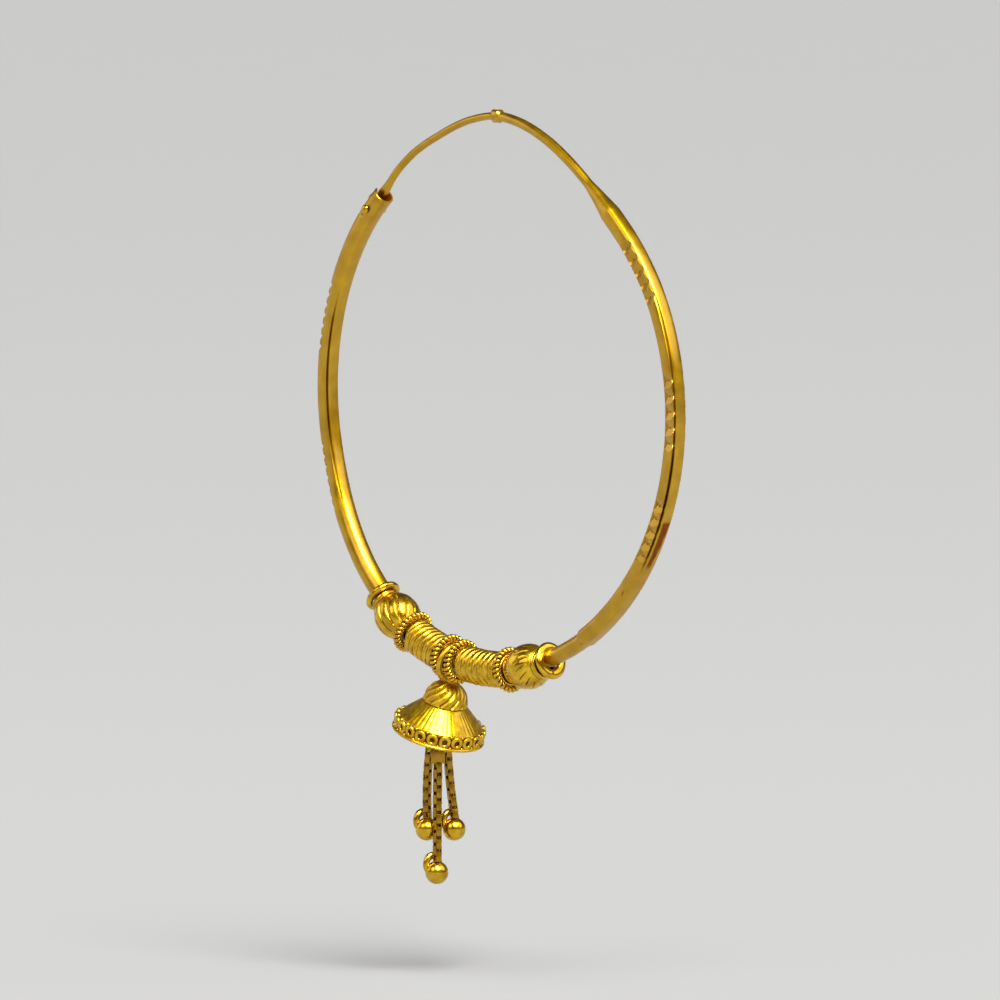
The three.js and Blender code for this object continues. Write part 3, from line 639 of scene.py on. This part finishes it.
def ribs(radius, down, around):
    zone = np.clip((down - 4.8) / 0.3, 0, 1) * np.clip((6.62 - down) / 0.2, 0, 1)
    fine_ribs = 1 - abs(np.sin(np.radians(around * 24)))
    return 1 - 0.010 * zone * fine_ribs - 0.006 * zone * np.sin(np.radians(around * 5))


# Painted shade: the sheet of the band behind the loops is darkened, as if seen into shade.
def band_soot(radius, down, around):
    return 0.9 * np.clip((down - 6.66) / 0.15, 0, 1) * np.clip((7.78 - down) / 0.1, 0, 1)


bell = lathe("bell", fine, 384, ribs, soot=band_soot)

parts = [cap]
uneven = random.Random(5)
bpy.ops.mesh.primitive_torus_add(major_radius=0.41, minor_radius=0.18, major_segments=30, minor_segments=14)
link = alone(bpy.context.object)
link.data.transform(Matrix.Diagonal((1, 1.08, 1, 1)))
for k in range(band_loops):
    loop = copied(link)
    tip = Matrix.Rotation(radians(90 - 7 + uneven.uniform(-4, 4)), 4, "Y")
    here = Matrix.Rotation(radians(k * 360 / band_loops), 4, "Z")
    step = here @ Matrix.Translation((4.22, 0, 7.24)) @ tip
    step = step @ Matrix.Diagonal((uneven.uniform(0.95, 1.03), uneven.uniform(0.97, 1.03), 1, 1))
    loop.data.transform(step @ Matrix.Rotation(radians(90), 4, "Z"))
    parts.append(loop)
bpy.data.objects.remove(link)
bpy.ops.mesh.primitive_ico_sphere_add(subdivisions=3, radius=0.15)
grain = alone(bpy.context.object)
for k in range(band_loops):
    between = Matrix.Rotation(radians((k + 0.5) * 360 / band_loops), 4, "Z")
    for radius, down, size in ((4.1, 6.74, 1.15), (4.32, 7.76, 0.95)):
        drop = copied(grain)
        drop.data.transform(between @ Matrix.Translation((radius, 0, down)) @ Matrix.Scale(size, 4))
        parts.append(drop)
bpy.data.objects.remove(grain)
bpy.ops.mesh.primitive_torus_add(major_radius=1.83, minor_radius=0.27, major_segments=80, minor_segments=18)
hanger = alone(bpy.context.object)
hanger.data.transform(Matrix.Translation((0, 0, 0.65)) @ Matrix.Rotation(radians(90), 4, "Y"))
bpy.ops.mesh.primitive_uv_sphere_add(segments=28, ring_count=16, radius=0.42)
solder = alone(bpy.context.object)
solder.data.transform(Matrix.Translation((0, 0, 2.5)) @ Matrix.Diagonal((1.1, 1.4, 0.45, 1)))
bpy.ops.mesh.primitive_cylinder_add(vertices=20, radius=0.17, depth=4.2)
post = alone(bpy.context.object)
post.data.transform(Matrix.Translation((0, 0, 4.75)))
bpy.ops.mesh.primitive_torus_add(major_radius=0.52, minor_radius=0.17, major_segments=40, minor_segments=14)
inner_eye = alone(bpy.context.object)
inner_eye.data.transform(Matrix.Translation((0, 0, eye_down)) @ Matrix.Rotation(radians(-fan_turn), 4, "Z")
                         @ Matrix.Rotation(radians(90), 4, "Y"))

# One grain of blue enamel or dirt sits in a loop of the band.
bpy.ops.mesh.primitive_ico_sphere_add(subdivisions=3, radius=0.1)
speck = alone(bpy.context.object)
speck.data.transform(Matrix.Rotation(radians(160.5), 4, "Z") @ Matrix.Translation((4.3, 0, 7.0)))
speck.data.attributes.new("speck", "FLOAT", "POINT")
speck.data.attributes["speck"].data.foreach_set("value", np.ones(len(speck.data.vertices)))
bell = joined("jhumka", bell, *parts, hanger, solder, post, inner_eye, speck)
stain_and_shade = (("soot", soot), ("speck", (0.01, 0.03, 0.22, 1)))
chased = gold("chased_gold", deep_gold, bright_gold, 0.37, 0.8, 0.09, 0.005, stain_and_shade)
fitted(bell, seat(drop_angle, 0, drop_tilt), "bell", "drop", chased, 40)

# ---- Ring in the bell ---------------------------------------------------------------------------
# A soldered ring of round wire that hangs in the eye of the bell and carries the three chains. What
# hangs here is turned to the fan of the chains: X along the fan, Y to its back, Z up from the eye.

tilt = radians(drop_tilt)
eye_at = hoop_point(drop_angle, hoop_radius(drop_angle)) + eye_down * np.array([sin(tilt), 0, cos(tilt)])
plumb = Matrix.Translation(Vector(eye_at)) @ Matrix.Rotation(radians(fan_turn), 4, "Z")
bpy.ops.mesh.primitive_torus_add(major_radius=1.15, minor_radius=0.26, major_segments=72, minor_segments=18)
ring = alone(bpy.context.object)
ring.name = "hanging_ring"
ring.data.transform(Matrix.Translation((0, 0, -1.17)) @ Matrix.Rotation(radians(90), 4, "X")
                    @ Matrix.Diagonal((1, 1.01, 1, 1)))
fitted(ring, plumb, "chain_ring", "drop", bright)

# ---- Box chains ---------------------------------------------------------------------------------
# Each link is a flat gold strip bent into a box, open at two sides, and the next one passes through
# it a quarter turn round. The middle chain starts with a wider flat link.


def box_link(width, deep, tall, strip):
    bpy.ops.mesh.primitive_cube_add(size=1)
    link = alone(bpy.context.object)
    link.data.transform(Matrix.Diagonal((width, deep, tall, 1)))
    bpy.ops.object.mode_set(mode="EDIT")
    bpy.ops.mesh.select_mode(type="FACE")
    bpy.ops.mesh.select_all(action="DESELECT")
    bpy.ops.object.mode_set(mode="OBJECT")
    for face in link.data.polygons:
        face.select = abs(face.normal.x) > 0.9
    bpy.ops.object.mode_set(mode="EDIT")
    bpy.ops.mesh.inset(thickness=strip, use_boundary=True)
    bpy.ops.mesh.bridge_edge_loops()
    bpy.ops.object.mode_set(mode="OBJECT")
    edge = link.modifiers.new("edge", "BEVEL")
    edge.width, edge.segments, edge.limit_method = 0.035, 3, "ANGLE"
    bpy.ops.object.modifier_apply(modifier=edge.name)
    return link


# A darker copy of the gold for the chains: painted shade for their close links.
chain_shade_gold = (0.30, 0.16, 0.002, 1)
strip = gold("strip_gold", chain_shade_gold, deep_gold, 0.28, 0.9, 0.12, 0.004, (("soot", soot),))
# The top, the bend and the ball of each chain, and how far its first link is turned.
chains = {"left": ((-0.97, 0.1, -2.6), (-1.17, 0.3, -6), (-1.18, 0.5, -9.67), 60),
          "middle": ((-0.13, -0.35, -2.7), (-0.19, -0.55, -7.35), (-0.24, -0.5, -13.72), 34),
          "right": ((0.8, 0.1, -2.6), (1.1, 0.25, -6), (1.4, 0.4, -9.67), 30)}
link_step = 0.62
strip_width = 0.1
fine_link = box_link(0.56, 0.7, 0.88, strip_width)
for side, (top, bend, ball, facing) in chains.items():
    top, bend = np.array(top), np.array(bend)
    foot = np.array(ball) + (0.04, -0.28, 1.2)
    first = np.linalg.norm(bend - top)
    whole = first + np.linalg.norm(foot - bend)
    start = 1.05 if side == "middle" else -0.3
    count = round((whole - start) / link_step) + 1
    knots, run = np.array([0, first, whole]), np.linspace(start, whole - 0.3, count)
    spline = [np.polyfit(knots, [top[k], bend[k], foot[k]], 2) for k in range(3)]
    hollow = np.stack([np.polyval(s, run) for s in spline], -1)
    # A dark wire along each chain's middle is painted shade, seen in the gaps between the links.
    links = [drawn_wire("hollow", hollow, 0.17)]
    links[0].data.attributes.new("soot", "FLOAT", "POINT")
    links[0].data.attributes["soot"].data.foreach_set("value", np.full(len(links[0].data.vertices), 0.9))
    for k, along in enumerate(run):
        point = Vector(hollow[k])
        up = -Vector([np.polyval(np.polyder(s), along) for s in spline]).normalized()
        back = up.cross(Vector((1, 0, 0))).normalized()
        hang = Matrix((back.cross(up), back, up)).transposed().to_4x4()
        turn = Matrix.Rotation(radians(facing + 90 * (k % 2)), 4, "Z")
        links.append(copied(fine_link))
        links[-1].data.transform(Matrix.Translation(point) @ hang @ turn)
    if side == "middle":
        links.append(box_link(1.35, 0.74, 1.3, strip_width))
        links[-1].data.transform(Matrix.Translation((-0.13, -0.12, -2.68)))
    chain = joined("box_chain_" + side, *links)
    fitted(chain, plumb, "chain_" + side, "drop", strip, 40)
bpy.data.objects.remove(fine_link)

# ---- Balls --------------------------------------------------------------------------------------
# A hollow polished ball ends each chain, soldered to the ring that the last link goes through.

for side, (top, bend, ball, facing) in chains.items():
    bpy.ops.mesh.primitive_uv_sphere_add(segments=56, ring_count=36, radius=1.1)
    sphere = alone(bpy.context.object)
    bpy.ops.mesh.primitive_torus_add(major_radius=0.71, minor_radius=0.31, major_segments=56,
                                     minor_segments=18)
    ring = alone(bpy.context.object)
    ring.data.transform(Matrix.Translation((-0.4, 0.2, 0.8)) @ Matrix.Rotation(radians(30), 4, "Z")
                        @ Matrix.Diagonal((1, 1, 1.15, 1)) @ Matrix.Rotation(radians(90), 4, "X"))
    bauble = joined("bauble_" + side, sphere, ring)
    polished = gold(bauble.name + "_gold", deep_gold, bright_gold, 0.23, 1.2, 0.12, 0.005)
    fitted(bauble, plumb @ Matrix.Translation(ball), "ball_" + side, "drop", polished)

# ---- Stage --------------------------------------------------------------------------------------
# A plain pale floor that rises into a round backdrop, a broad key light high in front, three weak lamps
# at its sides, and the camera. From here on lengths are metres.

floor_reach, cove, floor_level = 4.5, 1.6, -0.082
bpy.ops.mesh.primitive_circle_add(vertices=128, radius=floor_reach, fill_type="NGON",
                                  location=(0, 0, floor_level))
floor = alone(bpy.context.object)
floor.name = "floor"
bpy.ops.object.mode_set(mode="EDIT")
bpy.ops.mesh.select_mode(type="FACE")
for step in range(8):
    low, high = radians(90 - 6 * step), radians(90 - 6 * (step + 1))
    rise = cove * (sin(low) - sin(high))
    bpy.ops.mesh.extrude_region_move(TRANSFORM_OT_translate={"value": (0, 0, rise)})
    spread = (floor_reach + cove * cos(high)) / (floor_reach + cove * cos(low))
    bpy.ops.transform.resize(value=(spread, spread, 1))
bpy.ops.mesh.delete(type="FACE")
bpy.ops.object.mode_set(mode="OBJECT")
bpy.ops.object.shade_smooth_by_angle(angle=radians(60))
floor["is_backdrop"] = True
pale = bpy.data.materials.new("pale_paper")
pale.use_nodes = True
paper = pale.node_tree.nodes["Principled BSDF"]
paper.inputs["Base Color"].default_value = (0.315, 0.318, 0.321, 1)
paper.inputs["Roughness"].default_value = 0.7
floor.data.materials.append(pale)

world = bpy.data.worlds.new("studio")
bpy.context.scene.world = world
world.use_nodes = True
sky = world.node_tree.nodes["Background"]
way = Value(world.node_tree.nodes.new("ShaderNodeTexCoord").outputs["Generated"])
height = way.node("ShaderNodeSeparateXYZ", {}, {0: way}, 2)
low_sky, high_sky = (0.35, 0.305, 0.22, 1), (0.11, 0.095, 0.065, 1)
shade = way.node("ShaderNodeMapRange", {}, {"Value": height, "From Min": 0.0, "From Max": 0.6})
sky_colour = way.mixed(shade, low_sky, high_sky)
world.node_tree.links.new(sky_colour.socket, sky.inputs["Color"])

# `look` points from the object to the camera, and `across` to the camera's right.
target = (Vector(cad_box[0]) + Vector(cad_box[1])) / 2
round_by, above = radians(49), radians(4.4)
look = Vector((sin(round_by) * cos(above), -cos(round_by) * cos(above), sin(above)))
across = Vector((cos(round_by), sin(round_by), 0))
up = Vector((0, 0, 1))


def lamp(name, kind, way, distance, power, **settings):
    """A light that shines on the object from that way."""
    light = bpy.data.lights.new(name, kind)
    light.energy = power
    for key, setting in settings.items():
        setattr(light, key, setting)
    made = bpy.data.objects.new(name, light)
    bpy.context.scene.collection.objects.link(made)
    way = way.normalized()
    made.location = target + way * distance
    made.rotation_mode = "QUATERNION"
    made.rotation_quaternion = way.to_track_quat("Z", "Y")


lamp("key", "SUN", 0.22 * across + 0.79 * up + 0.6 * look, 1, 7.0, angle=radians(38))
lamp("right", "AREA", 0.2 * look + 0.9 * across + 0.75 * up, 1.0, 3.6, shape="DISK", size=0.9)
lamp("left", "AREA", 0.7 * look - 0.8 * across + 0.7 * up, 1.0, 2.2, shape="DISK", size=0.6)
lamp("low_left", "AREA", -0.25 * look - 0.9 * across + 0.42 * up, 1.0, 1.4, shape="DISK", size=0.7)

camera = bpy.data.cameras.new("camera")
camera.lens = 800
view = bpy.data.objects.new("camera", camera)
bpy.context.scene.collection.objects.link(view)
view.location = target + look * 2.1
view.rotation_mode = "QUATERNION"
view.rotation_quaternion = look.to_track_quat("Z", "Y")
camera.clip_start, camera.clip_end = 0.01, 10
bpy.context.scene.camera = view
bpy.context.scene.view_settings.view_transform = "Standard"

size = {"cad": [list(corner) for corner in cad_box], "visual": [list(corner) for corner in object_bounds()]}
